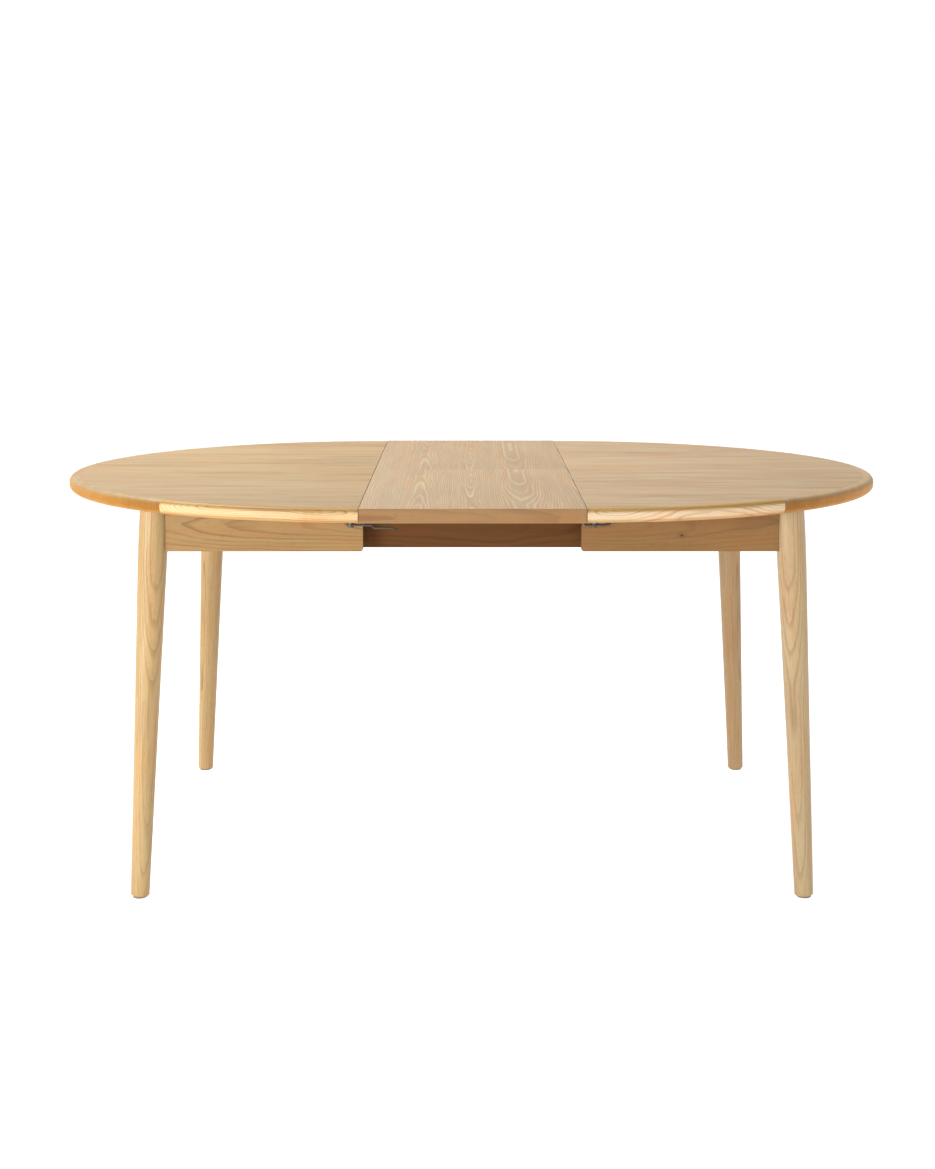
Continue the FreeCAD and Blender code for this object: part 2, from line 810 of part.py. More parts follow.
# ---------------------------------------------------------------- checks and export
doc.recompute()
for obj in doc.Objects:
    bad = [s for s in obj.State if s in ("Invalid", "Error")]
    if bad:
        raise RuntimeError("%s is %s" % (obj.Name, bad))
os.makedirs("parts", exist_ok=True)
for obj in NODES:
    shape = obj.Shape
    if shape.isNull() or not shape.isValid() or not shape.Solids:
        raise RuntimeError("%s has no valid solid" % obj.Label)
    shape.exportStep("parts/%s.step" % obj.Label)
    bb = shape.BoundBox
    print("%-24s %2d solid %10.0f mm3  x %7.1f %7.1f  y %7.1f %7.1f  z %6.1f %6.1f" % (
        obj.Label, len(shape.Solids), shape.Volume, bb.XMin, bb.XMax, bb.YMin, bb.YMax,
        bb.ZMin, bb.ZMax))
print("%d sub-parts" % len(NODES))
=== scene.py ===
import math

import bmesh
import bpy
from mathutils import Matrix, Vector


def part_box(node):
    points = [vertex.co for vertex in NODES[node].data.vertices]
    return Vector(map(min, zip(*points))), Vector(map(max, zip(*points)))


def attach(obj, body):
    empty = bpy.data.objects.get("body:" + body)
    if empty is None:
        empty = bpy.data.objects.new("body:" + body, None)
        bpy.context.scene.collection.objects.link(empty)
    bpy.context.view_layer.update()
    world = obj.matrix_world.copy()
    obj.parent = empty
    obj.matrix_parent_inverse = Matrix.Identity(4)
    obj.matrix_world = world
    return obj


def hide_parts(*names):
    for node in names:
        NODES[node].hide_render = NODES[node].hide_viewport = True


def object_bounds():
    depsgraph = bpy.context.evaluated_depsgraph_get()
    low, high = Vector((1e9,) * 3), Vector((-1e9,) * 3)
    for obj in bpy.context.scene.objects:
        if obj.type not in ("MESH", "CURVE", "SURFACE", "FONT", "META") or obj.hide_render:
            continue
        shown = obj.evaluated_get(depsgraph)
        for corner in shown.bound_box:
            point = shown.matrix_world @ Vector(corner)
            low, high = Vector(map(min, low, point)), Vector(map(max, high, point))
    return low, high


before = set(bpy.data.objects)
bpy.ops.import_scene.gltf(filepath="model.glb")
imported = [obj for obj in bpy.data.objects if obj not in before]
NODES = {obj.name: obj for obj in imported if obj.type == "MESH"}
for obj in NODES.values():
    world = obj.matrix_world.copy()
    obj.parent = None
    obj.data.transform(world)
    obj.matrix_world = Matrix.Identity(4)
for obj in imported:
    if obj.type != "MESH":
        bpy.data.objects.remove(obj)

bpy.context.view_layer.update()
CAD_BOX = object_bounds()
MM = 0.001

# ---------------------------------------------------------------- sizes from the frame
UNDER, TOP = (corner.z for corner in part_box("leaf_front_panel"))
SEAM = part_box("right_top_panel")[0].x
RADIUS = CAD_BOX[1].y               # of the half-round ends
LEG_SPREAD = (43 * MM, 32 * MM)     # how far a foot stands outside its leg's head
KNOT_RADIUS = 2.4 * MM              # in the right front apron
KNOT_PLACE = (0.507, 0.37)          # along and up that apron, as shares of its size
FLECK_RADIUS = 1.1 * MM             # dark fleck in the right front band
FLECK_INSET = (30 * MM, 1 * MM)     # in from the band's seam end and from its nose
FLECK_HEIGHT = 0.8                  # as a share of the band's height
X_AXIS, Y_AXIS, Z_AXIS = Vector((1, 0, 0)), Vector((0, 1, 0)), Vector((0, 0, 1))


# ---------------------------------------------------------------- shader graph helper
class Graph:
    """A material's node tree with short calls for the nodes used here."""

    def __init__(self, name):
        self.material = bpy.data.materials.new(name)
        self.material.use_nodes = True
        self.tree = self.material.node_tree
        self.tree.nodes.clear()
        self.shader = self.add("ShaderNodeBsdfPrincipled")
        output = self.add("ShaderNodeOutputMaterial")
        self.tree.links.new(self.shader.outputs["BSDF"], output.inputs["Surface"])

    def add(self, kind, **settings):
        node = self.tree.nodes.new(kind)
        for key, value in settings.items():
            setattr(node, key, value)
        return node

    def feed(self, socket, value):
        if isinstance(value, bpy.types.NodeSocket):
            self.tree.links.new(value, socket)
        else:
            socket.default_value = value

    def math(self, operation, a, b=0.0, clamp=False):
        node = self.add("ShaderNodeMath", operation=operation, use_clamp=clamp)
        self.feed(node.inputs[0], a)
        self.feed(node.inputs[1], b)
        return node.outputs[0]

    def vector(self, operation, a, b, output="Vector"):
        node = self.add("ShaderNodeVectorMath", operation=operation)
        self.feed(node.inputs[0], a)
        self.feed(node.inputs[1], b)
        return node.outputs[output]

    def combine(self, x, y, z):
        node = self.add("ShaderNodeCombineXYZ")
        for socket, value in zip(node.inputs, (x, y, z)):
            self.feed(socket, value)
        return node.outputs[0]

    def separate(self, vector):
        node = self.add("ShaderNodeSeparateXYZ")
        self.feed(node.inputs[0], vector)
        return node.outputs

    def noise(self, vector, scale=1.0, detail=2.0, roughness=0.5, distortion=0.0):
        node = self.add("ShaderNodeTexNoise")
        self.feed(node.inputs["Vector"], vector)
        self.feed(node.inputs["Scale"], scale)
        self.feed(node.inputs["Detail"], detail)
        self.feed(node.inputs["Roughness"], roughness)
        self.feed(node.inputs["Distortion"], distortion)
        return node.outputs["Fac"]

    def spread(self, value, low, high, to_low=0.0, to_high=1.0, smooth=False):
        node = self.add("ShaderNodeMapRange")
        node.interpolation_type = "SMOOTHSTEP" if smooth else "LINEAR"
        for key, entry in (("Value", value), ("From Min", low), ("From Max", high),
                           ("To Min", to_low), ("To Max", to_high)):
            self.feed(node.inputs[key], entry)
        return node.outputs["Result"]

    def mix(self, factor, a, b, blend="MIX"):
        node = self.add("ShaderNodeMix", data_type="RGBA", blend_type=blend)
        self.feed(node.inputs["Factor"], factor)
        self.feed(node.inputs["A"], a if not isinstance(a, tuple) else (*a, 1.0))
        self.feed(node.inputs["B"], b if not isinstance(b, tuple) else (*b, 1.0))
        return node.outputs["Result"]

    def place(self, output):
        return self.add("ShaderNodeTexCoord").outputs[output]

    def bump(self, height, strength, distance):
        node = self.add("ShaderNodeBump")
        self.feed(node.inputs["Height"], height)
        self.feed(node.inputs["Strength"], strength)
        self.feed(node.inputs["Distance"], distance)
        self.feed(self.shader.inputs["Normal"], node.outputs["Normal"])

    def finish(self, **inputs):
        for name, value in inputs.items():
            self.feed(self.shader.inputs[name.replace("_", " ")], value)
        return self.material


# ---------------------------------------------------------------- wood
class Tone:
    """Colours of one timber: its fibres, late wood, end grain and pores."""

    def __init__(self, light, dark, end, pore=None):
        self.light, self.dark, self.end = light, dark, end
        self.pore = pore or tuple(c * 0.6 for c in dark)

    def times(self, red, green, blue):
        shift = [tuple(c * f for c, f in zip(colour, (red, green, blue)))
                 for colour in (self.light, self.dark, self.end, self.pore)]
        return Tone(*shift)


# How a board is cut from its log, in millimetres: ring spacing, distance of the heart
# behind the face, drift of the heart along the board, wander of the rings and how often
# it comes back, then the strengths of the rings, pores, fibres and broad clouds, the width
# and contrast of veneer strips, the surface, and where in a ring the late wood begins,
# and last the painted light and shade laid on what looks up and on what looks down.
PLAIN = dict(spacing=4.2, heart=38.0, tilt=0.03, wander=7.0, wave=0.0022, rings=0.55,
             pores=0.5, fibres=0.35, clouds=0.3, strip=0.0, strip_shift=0.2, rough=0.44,
             shine=0.4, coat=0.0, onset=0.25, painted_shading_up=None, painted_shade_down=None)


GLUE_LINE = 0.35        # half width of the joint between veneer strips, in millimetres
LOG_ALONG = 2300.0      # neighbouring strips lie up to this far apart along their logs
LOG_DEEP = 45.0         # and this far apart in depth
BLUSH = (1.06, 0.93, 0.84)      # warmer patches
END_LATE = 0.62                 # late wood on end grain, against the early wood
KNOT_DARK = 0.38                # a knot, against the late wood


def wood(name, grain, face, origin, tone, knot=None, **changes):
    """Oiled solid wood or veneer, as rings of a log nearly parallel to the grain.

    grain and face are unit vectors: along the fibres, and out of the show face. origin is
    a point in the board. With a strip width it is a veneer of strips from many logs. A
    knot is (centre, radius). Painted light and shade: two colour factors, one for what
    looks up and one for what looks down, lighten or darken the wood by the way it faces."""
    cut = dict(PLAIN, **changes)
    g = Graph(name)
    across = face.cross(grain).normalized()
    spot = g.vector("SUBTRACT", g.place("Object"), tuple(origin))
    spot = g.vector("MULTIPLY", spot, (1 / MM,) * 3)
    along = g.vector("DOT_PRODUCT", spot, tuple(grain), "Value")
    side = g.vector("DOT_PRODUCT", spot, tuple(across), "Value")
    deep = g.vector("DOT_PRODUCT", spot, tuple(face), "Value")

    def field(length, width, detail=2.0, roughness=0.5, shift=0.0):
        """Noise drawn out along the grain: cell length and width in millimetres."""
        place = g.combine(g.math("MULTIPLY", along, 1 / length),
                          g.math("ADD", g.math("MULTIPLY", side, 1 / width), shift),
                          g.math("MULTIPLY", deep, 1 / width))
        return g.noise(place, 1.0, detail, roughness)

    def swing(value, amount):
        return g.math("MULTIPLY", g.math("SUBTRACT", value, 0.5), amount)

    strip = cut["strip"]
    strip_tone = 0.5
    joint = 0.0
    if strip:
        place = g.math("DIVIDE", side, strip)
        index = g.math("FLOOR", place)
        white = g.add("ShaderNodeTexWhiteNoise", noise_dimensions="1D")
        g.feed(white.inputs["W"], g.math("ADD", index, origin.length * 31.7))
        red, green, blue = g.separate(white.outputs["Color"])
        strip_tone = white.outputs["Value"]
        edge = g.math("ABSOLUTE", g.math("SUBTRACT", g.math("FRACT", place), 0.5))
        joint = g.spread(edge, 0.5 - GLUE_LINE / strip, 0.5, 0.0, 0.35)
        along = g.math("ADD", along, g.math("MULTIPLY", red, LOG_ALONG))
        middle = g.math("ADD", index, g.spread(green, 0, 1, 0.25, 0.75))
        side = g.math("SUBTRACT", side, g.math("MULTIPLY", middle, strip))
        deep = g.math("ADD", deep, g.math("MULTIPLY", blue, LOG_DEEP))

    wave = 1 / cut["wave"]
    shove = cut["wander"] * 6
    ring_side = g.math("ADD", side, swing(field(wave, 150.0, 3.0), shove))
    drift = g.math("MULTIPLY", along, cut["tilt"])
    if strip:
        drift = swing(field(wave * 1.6, 400.0, 1.0, shift=3.1), 900 * cut["tilt"])
    shake = swing(field(wave, 150.0, 3.0, shift=9.3), shove)
    ring_deep = g.math("ADD", g.math("ADD", deep, cut["heart"]),
                       g.math("ADD", shake, drift))
    radius = g.vector("LENGTH", g.combine(ring_side, ring_deep, 0.0), (0, 0, 0), "Value")
    radius = g.math("ADD", radius, swing(field(160.0, 9.0), cut["spacing"] * 0.35))
    phase = g.math("DIVIDE", radius, cut["spacing"])
    turn = g.math("FRACT", phase)
    late = g.spread(turn, cut["onset"], 0.93, 0, 1, smooth=True)
    early = g.spread(turn, 0.93, 1.0, 1, 0, smooth=True)
    year = g.noise(g.combine(g.math("FLOOR", phase), 0.0, 0.0), 0.73, 1.0)
    ring = g.math("MULTIPLY", g.math("MULTIPLY", late, early),
                  g.spread(year, 0.3, 0.7, 0.3, 1.0))
    streak = field(160.0, 1.3, 3.0, 0.6)
    band = field(260.0, 22.0, 3.0, 0.55, shift=5.7)
    cloud = field(300.0, 90.0, 2.0, 0.5, shift=2.3)
    pore_cells = field(14.0, 0.38, 1.0, 0.5, shift=1.9)
    pore = g.math("MULTIPLY", g.spread(pore_cells, 0.56, 0.68),
                  g.spread(turn, 0.0, 0.5, 1.0, 0.2))
    amount = g.math("ADD", g.math("MULTIPLY", ring, cut["rings"]), 0.12)
    amount = g.math("ADD", amount, swing(streak, cut["fibres"] * 2))
    amount = g.math("ADD", amount, swing(band, cut["clouds"] * 2.5))
    amount = g.math("ADD", amount, swing(cloud, cut["clouds"] * 2))
    if strip:
        amount = g.math("ADD", amount, swing(strip_tone, cut["strip_shift"]))
        amount = g.math("ADD", amount, joint)
    amount = g.math("ADD", amount, 0.0, clamp=True)
    colour = g.mix(amount, tone.light, tone.dark)
    blush = g.mix(1.0, colour, BLUSH, "MULTIPLY")
    colour = g.mix(g.spread(field(220.0, 14.0, 2.0, shift=7.9), 0.42, 0.66), colour, blush)
    colour = g.mix(g.math("MULTIPLY", pore, cut["pores"]), colour, tone.pore)
    facing = g.vector("DOT_PRODUCT", g.place("Normal"), tuple(grain), "Value")
    cross_cut = g.spread(g.math("ABSOLUTE", facing), 0.4, 0.95, 0, 0.85, smooth=True)
    colour = g.mix(cross_cut, colour,
                   g.mix(amount, tone.end, tuple(c * END_LATE for c in tone.end)))
    # painted light and shade: the colour is multiplied by one factor where the surface
    # faces up and by another where it faces down
    upward = g.separate(g.place("Normal"))[2]
    for tint, way in ((cut["painted_shading_up"], 1), (cut["painted_shade_down"], -1)):
        if tint:
            shaded_colour = g.mix(1.0, colour, tint, "MULTIPLY")
            part = g.spread(g.math("MULTIPLY", upward, way), 0.12, 0.7, smooth=True)
            colour = g.mix(part, colour, shaded_colour)
    if knot:
        centre, size = knot
        away = g.vector("SUBTRACT", g.place("Object"), tuple(centre))
        away = g.vector("MULTIPLY", away, (0.8, 1.0, 1.25))
        far = g.math("DIVIDE", g.vector("LENGTH", away, (0, 0, 0), "Value"), size)
        far = g.math("ADD", far, swing(streak, 0.9))
        halo = g.spread(far, 1.0, 5.0, 0.45, 0.0, smooth=True)
        colour = g.mix(halo, colour, tone.dark)
        spot_dark = g.spread(far, 0.7, 1.25, 1, 0, smooth=True)
        colour = g.mix(spot_dark, colour, tuple(c * KNOT_DARK for c in tone.dark))
    dents = g.math("ADD", pore, g.math("MULTIPLY", ring, 0.3))
    g.bump(g.math("MULTIPLY", dents, -1.0), 0.4, 0.12 * MM)
    gloss = g.math("ADD", g.math("MULTIPLY", pore, 0.12),
                   g.spread(band, 0.3, 0.7, cut["rough"] - 0.04, cut["rough"] + 0.06))
    return g.finish(Base_Color=colour, Roughness=gloss, Specular_IOR_Level=cut["shine"],
                    Coat_Weight=cut["coat"], Coat_Roughness=0.16)


def steel(name, base=(0.50, 0.49, 0.47), rough=0.36):
    """Zinc plated steel with faint rolling lines and blotches."""
    g = Graph(name)
    place = g.place("Object")
    blotch = g.noise(place, 90.0, 3.0, 0.6)
    lines = g.noise(g.vector("MULTIPLY", place, (60, 900, 900)), 1.0, 2.0)
    shade = g.math("ADD", g.math("MULTIPLY", blotch, 0.6), g.math("MULTIPLY", lines, 0.4))
    colour = g.mix(shade, tuple(c * 0.75 for c in base), base)
    g.bump(lines, 0.15, 0.05 * MM)
    return g.finish(Base_Color=colour, Metallic=1.0,
                    Roughness=g.spread(shade, 0.3, 0.7, rough - 0.06, rough + 0.1))


def felt(name, base, scale):
    """Pressed felt: matt and speckled with crossing hairs."""
    g = Graph(name)
    place = g.place("Object")
    speck = g.noise(place, scale, 4.0, 0.7, 1.5)
    colour = g.mix(speck, tuple(c * 0.5 for c in base), base)
    g.bump(speck, 0.5, 0.2 * MM)
    return g.finish(Base_Color=colour, Roughness=0.9, Sheen_Weight=0.3)


def paint(name, material):
    obj = NODES[name]
    obj.data.materials.clear()
    obj.data.materials.append(material)


def soften(name, width):
    """Eased edges on a CAD piece: its vertices stay, modifiers round what is seen."""
    obj = NODES[name]
    weld = obj.modifiers.new("weld", "WELD")
    weld.merge_threshold = 0.02 * MM
    bevel = obj.modifiers.new("eased_edges", "BEVEL")
    bevel.width = width * MM
    bevel.segments = 2
    bevel.limit_method = "ANGLE"
    bevel.angle_limit = math.radians(32)
    bevel.use_clamp_overlap = True
    bevel.miter_outer = "MITER_ARC"
    normals = obj.modifiers.new("even_shading", "WEIGHTED_NORMAL")
    normals.keep_sharp = False


def tone_for(region):
    return OAK.times(*TINTS[region])


OAK = Tone((0.400, 0.235, 0.098), (0.245, 0.122, 0.043), (0.230, 0.115, 0.040))
BEECH = Tone((0.12, 0.051, 0.015), (0.068, 0.026, 0.007), (0.068, 0.029, 0.0078))
# How each board's colour differs from the middle oak colour: red, green, blue
TINTS = {
    "left_top": (0.73, 0.91, 1.18),
    "right_top": (0.85, 1.09, 1.61),
    "leaf": (0.96, 1.24, 1.65),
    "leaf_lipping": (0.75, 0.70, 0.62),
    "left_end_band": (1.08, 0.88, 0.30),
    "right_end_band": (1.24, 1.00, 0.44),
    "left_side_band": (1.67, 2.04, 2.65),
    "right_side_band": (1.76, 2.33, 3.66),
    "left_apron": (0.82, 0.84, 0.68),
    # the right aprons are darker partly as their own board's tone and partly as painted
    # shade, standing in for light that falls from the left
    "right_apron": (0.63, 0.55, 0.36),
    "left_leg": (1.14, 1.35, 1.44),
    "right_leg": (1.13, 1.42, 1.84),
}

# the back legs against the front leg on the same side
BACK_LEG = {"left": (0.95, 0.92, 0.88), "right": (0.86, 0.78, 0.70)}

# ---------------------------------------------------------------- wood of each piece
# Origins differ from board to board so that no two show the same figure.
for number, (side, sign) in enumerate((("right", 1), ("left", -1))):
    shift = Vector((0.31 * number, 0.17 * number, 0.05))
    paint(side + "_top_panel", wood(
        side + "_top_veneer", X_AXIS, Z_AXIS, shift, tone_for(side + "_top"), heart=60,
        spacing=4.0, rings=0.25, pores=0.3, fibres=0.34, clouds=0.44, strip=131.0,
        strip_shift=0.22, rough=0.58, shine=0.12))
    half_end = math.degrees(math.asin(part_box(side + "_end_band")[1].y / RADIUS))
    middle = (half_end + 90) / 2
    for label, angle in (("end", 0), ("front", -middle), ("back", middle)):
        turn = math.radians(angle if sign > 0 else 180 - angle)
        outward = Vector((math.cos(turn), math.sin(turn), 0))
        grain = Vector((-outward.y, outward.x, 0))
        name = "%s_%s_band" % (side, label)
        low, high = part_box(name)
        fleck = None
        if side == "right" and label == "front":
            fleck = (Vector((low.x + FLECK_INSET[0], low.y + FLECK_INSET[1],
                             low.z + FLECK_HEIGHT * (high.z - low.z))), FLECK_RADIUS)
        region = side + ("_end_band" if label == "end" else "_side_band")
        # painted light and shade: the upward-facing rounding is given the colour of the
        # veneer beside it, and on the front and back bands the downward-facing rounding is
        # darkened as painted shade
        veneer = [a / b for a, b in zip(TINTS[side + "_top"], TINTS[region])]
        if label == "end":
            look = dict(rough=0.5, shine=0.15, rings=0.5, spacing=5.0,
                        painted_shading_up=(veneer[0] * 1.04, veneer[1] * 0.98, veneer[2] * 0.85))
        else:
            look = dict(rough=0.46, shine=0.12, rings=0.9, onset=0.45, spacing=3.8,
                        painted_shading_up=(veneer[0] * 1.05, veneer[1] * 0.88, veneer[2] * 0.46),
                        painted_shade_down=(0.74, 0.58, 0.4))
        paint(name, wood(
            name + "_oak", grain, outward,
            Vector((SEAM * sign, 0.0, TOP)) + outward * RADIUS + grain * 0.37 * number,
            tone_for(region), knot=fleck, heart=22, tilt=0.045, wander=4, pores=0.4,
            **look))
    for label, way in (("front", -1), ("back", 1)):
        name = "%s_%s_apron" % (side, label)
        low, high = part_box(name)
        knot = None
        if side == "right" and label == "front":
            knot = (Vector((low.x + KNOT_PLACE[0] * (high.x - low.x), low.y,
                            low.z + KNOT_PLACE[1] * (high.z - low.z))), KNOT_RADIUS)
        paint(name, wood(
            name + "_oak", X_AXIS, Y_AXIS * way,
            Vector((0.36 * sign, low.y if way < 0 else high.y, low.z + 52 * MM)),
            tone_for(side + "_apron"), knot=knot, spacing=5.5, heart=20,
            tilt=0.06 * sign, wander=5, rings=0.95 if sign < 0 else 0.55, onset=0.55,
            pores=0.6, fibres=0.6))
        soften(name, 1.0)

        name = "%s_%s_leg" % (side, label)
        glide_low, glide_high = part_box(side + "_glides")
        foot = Vector(((glide_low.x + glide_high.x) / 2, 0, 0))
        foot.y = (glide_high.y - (glide_high.x - glide_low.x) / 2) * way
        head = Vector((foot.x - LEG_SPREAD[0] * sign, foot.y - LEG_SPREAD[1] * way, UNDER))
        grain = (head - foot).normalized()
        out = Vector((-0.45 * sign, way, 0))
        out = (out - grain * out.dot(grain)).normalized()
        paint(name, wood(
            name + "_oak", grain, out, foot + Vector((6 * MM * sign, 4 * MM, 0)),
            tone_for(side + "_leg").times(*BACK_LEG[side] if way > 0 else (1, 1, 1)),
            spacing=3.2, heart=46 if way < 0 else 24, tilt=0.02, wander=4, rings=0.85,
            onset=0.5, pores=0.7, fibres=0.75, rough=0.42))
        soften(name, 0.6)
    name = side + "_end_apron"
    low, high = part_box(name)
    paint(name, wood(name + "_oak", Y_AXIS, X_AXIS * sign,
                     Vector((high.x if sign > 0 else low.x, 0.2, low.z + 30 * MM)),
                     tone_for(side + "_apron"), spacing=5.5, heart=24, tilt=0.05,
                     wander=5, rings=0.6))
    soften(name, 1.0)

for label, way in (("front", -1), ("back", 1)):
    tone = tone_for("leaf")
    if way > 0:
        tone = tone.times(0.95, 0.95, 0.96)
    # pale rings on a darker ground
    pale = Tone(tone.dark, tone.light, tone.end, tuple(c * 1.25 for c in tone.light))
    paint("leaf_%s_panel" % label, wood(
        "leaf_%s_veneer" % label, Y_AXIS, Z_AXIS, Vector((0.053, 0.21 * way, TOP)),
        pale, heart=2, spacing=3.8, tilt=0.04, wander=4.5, wave=0.0022, rings=0.8,
        onset=0.45, pores=0.4, fibres=0.55, clouds=0.2, strip=110.0, strip_shift=0.12,
        rough=0.5))
    name = "leaf_%s_lipping" % label
    paint(name, wood(name + "_oak", X_AXIS, Y_AXIS * way,
                     Vector((0.1, RADIUS * way, UNDER + 10 * MM)),
                     tone_for("leaf_lipping"),
                     spacing=6.0, heart=24, tilt=0.04, wander=4))
    soften(name, 0.6)


def frame_wood(name, grain, face, width=0.8):
    low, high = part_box(name)
    paint(name, wood(name + "_beech", grain, face, low * 0.3 + high * 0.7, BEECH,
                     spacing=5.5, rings=0.5, pores=0.2, rough=0.7, shine=0.12))
    soften(name, width)


frame_wood("front_rail", X_AXIS, -Y_AXIS)
frame_wood("back_rail", X_AXIS, Y_AXIS)
frame_wood("right_cross_rail", Y_AXIS, X_AXIS)
frame_wood("left_cross_rail", Y_AXIS, -X_AXIS)
frame_wood("leaf_bearers", Y_AXIS, Z_AXIS)
frame_wood("shaft_supports", Z_AXIS, X_AXIS, 0.5)
for side in ("right", "left"):
    frame_wood(side + "_corner_blocks", Z_AXIS, X_AXIS, 1.0)
    frame_wood(side + "_top_cleats", Y_AXIS, Z_AXIS, 0.6)

# ---------------------------------------------------------------- steel and felt
ZINC = steel("zinc_steel")
# painted shade: the latch plates and levers get zinc painted near black, far darker than
# the other zinc, to stand in for the shade they sit in under the top; it is also rougher
SHADED_ZINC = steel("shaded_zinc", (0.12, 0.10, 0.08), 0.5)
DARK_STEEL = steel("dark_steel", (0.22, 0.21, 0.20), 0.42)
FELT = felt("glide_felt", (0.12, 0.10, 0.085), 1500.0)
LEVERS = ["lever_%s_%s" % (row, side) for row in ("front", "back")
          for side in ("left", "right")]
ARMS = ["front_swing_arms", "rear_swing_arms", "leaf_pivot_brackets"]
for name in ARMS + ["slide_channels", "leaf_hinge_links", "front_arm_shaft",
                    "rear_arm_shaft"]:
    paint(name, ZINC)
for side in ("right", "left"):
    paint(side + "_slide_runners", ZINC)
    paint(side + "_ball_cages", ZINC)
    paint(side + "_latch_plates", SHADED_ZINC)
    paint(side + "_glides", FELT)
for name in LEVERS:
    paint(name, SHADED_ZINC)
for name in LEVERS + ARMS:
    soften(name, 0.4)


# ---------------------------------------------------------------- small hardware
class Piece:
    """A mesh built part by part, then given a material and a body; the slot it is handed is
    not used.
    """

    def __init__(self):
        self.bm = bmesh.new()

    def add(self, part, place, axis):
        """Put a small mesh whose own axis is +Z at a place, pointing along an axis."""
        spin = Vector(axis).to_track_quat("Z", "Y").to_matrix().to_4x4()
        part.transform(Matrix.Translation(place) @ spin)
        scratch = bpy.data.meshes.new("scratch")
        part.to_mesh(scratch)
        part.free()
        self.bm.from_mesh(scratch)
        bpy.data.meshes.remove(scratch)

    def finish(self, name, material, slot, body, replaces=None):
        mesh = bpy.data.meshes.new(name)
        self.bm.to_mesh(mesh)
        self.bm.free()
        mesh.materials.append(material)
        for polygon in mesh.polygons:
            polygon.use_smooth = True
        mesh.set_sharp_from_angle(angle=math.radians(35))
        obj = bpy.data.objects.new(name, mesh)
        bpy.context.scene.collection.objects.link(obj)
        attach(obj, body)
        if replaces:
            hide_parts(replaces)
        return obj


def lathe(profile, steps=20):
    """Closed surface turned about Z from (radius, height) points; ends are capped."""
    bm = bmesh.new()
    rings = []
    for radius, height in profile:
        rings.append([bm.verts.new((radius * math.cos(a), radius * math.sin(a), height))
                      for a in (2 * math.pi * i / steps for i in range(steps))])
    for low, high in zip(rings, rings[1:]):
        for i in range(steps):
            j = (i + 1) % steps
            bm.faces.new((low[i], low[j], high[j], high[i]))
    bm.faces.new(list(reversed(rings[0])))
    bm.faces.new(rings[-1])
    return bm


def screw_head(radius, height):
    """Pan head with a cross recess, sitting on z = 0."""
    bm = lathe([(radius, -0.2 * MM), (radius, height * 0.35), (radius * 0.9, height * 0.75),
                (radius * 0.62, height)], 24)
    bm.faces.ensure_lookup_table()
    top_face = max(bm.faces, key=lambda f: f.calc_center_median().z)
    rim = list(top_face.edges)
    bm.faces.remove(top_face)
    arm, half = radius * 0.5, radius * 0.11
    corners = [(arm, half), (half, half), (half, arm), (-half, arm), (-half, half),
               (-arm, half), (-arm, -half), (-half, -half), (-half, -arm), (half, -arm),
               (half, -half), (arm, -half)]
    high = [bm.verts.new((x, y, height)) for x, y in corners]
    low = [bm.verts.new((x * 0.8, y * 0.8, height * 0.3)) for x, y in corners]
    edges = [bm.edges.new((high[i], high[(i + 1) % 12])) for i in range(12)]
    bmesh.ops.triangle_fill(bm, use_beauty=True, use_dissolve=False, edges=rim + edges)
    for i in range(12):
        j = (i + 1) % 12
        bm.faces.new((high[j], high[i], low[i], low[j]))
    bm.faces.new(low)
    bmesh.ops.recalc_face_normals(bm, faces=bm.faces)
    return bm


def hex_nut(across, height, bore):
    """Hexagon nut with chamfered corners and an open bore."""
    corner = across / math.sqrt(3)
    bm = bmesh.new()
    steps = 24

    def hexagon(angle, size):
        local = (angle + math.pi / 6) % (math.pi / 3) - math.pi / 6
        return min(size, across / 2 / math.cos(local))

    levels = [(bore, 0), (corner * 0.87, 0), (corner, height * 0.12),
              (corner, height * 0.88), (corner * 0.87, height), (bore, height)]
    rings = []
    for size, level in levels:
        ring = []
        for i in range(steps):
            a = 2 * math.pi * i / steps
            radius = size if size == bore else hexagon(a, size)
            ring.append(bm.verts.new((radius * math.cos(a), radius * math.sin(a), level)))
        rings.append(ring)
    for low, high in zip(rings, rings[1:] + rings[:1]):
        for i in range(steps):
            j = (i + 1) % steps
            bm.faces.new((low[i], low[j], high[j], high[i]))
    bmesh.ops.recalc_face_normals(bm, faces=bm.faces)
    return bm


def threaded_rod(radius, length, pitch):
    """Bolt whose thread is a row of close ridges."""
    profile = [(radius * 0.8, 0)]
    for i in range(int(length / pitch)):
        base = i * pitch
        profile += [(radius * 0.86, base + pitch * 0.1), (radius, base + pitch * 0.5)]
    profile += [(radius * 0.86, length - 0.2 * pitch), (radius * 0.7, length)]
    return lathe(profile, 16)


PAN_SCREW = (3.4 * MM, 2.0 * MM)        # head radius and height
PLATE_SCREW = (2.1 * MM, 1.2 * MM)
BRACKET_SCREW = (2.3 * MM, 1.3 * MM)
BOLT_RADIUS, BOLT_LENGTH, BOLT_PITCH = 4.0 * MM, 69.0 * MM, 1.25 * MM
WASHER_RADIUS, WASHER_THICK = 10.0 * MM, 1.5 * MM
NUT_ACROSS, NUT_HIGH, NUT_BORE = 13.0 * MM, 6.5 * MM, 3.6 * MM
PLATE_THICK, BRACKET_THICK = 2.5 * MM, 3.0 * MM
SIDE_CLEAT_STEPS = (30 * MM, 120 * MM)          # from the cleat's inner end
SIDE_CLEAT_HALF = 6 * MM                        # screws run along the middle of a cleat
END_CLEAT_STEPS = (70 * MM, 200 * MM)           # from the middle of the table
END_CLEAT_HALF = 9 * MM
RUNNER_STEPS = (20 * MM, 75 * MM, 130 * MM)     # from the runner's outer end
RUNNER_WEB = 1.6 * MM                           # depth of the web that the heads sit on
SUPPORT_DROPS = (12 * MM, 34 * MM)              # below the top of a shaft support
SUPPORT_THICK = 8 * MM
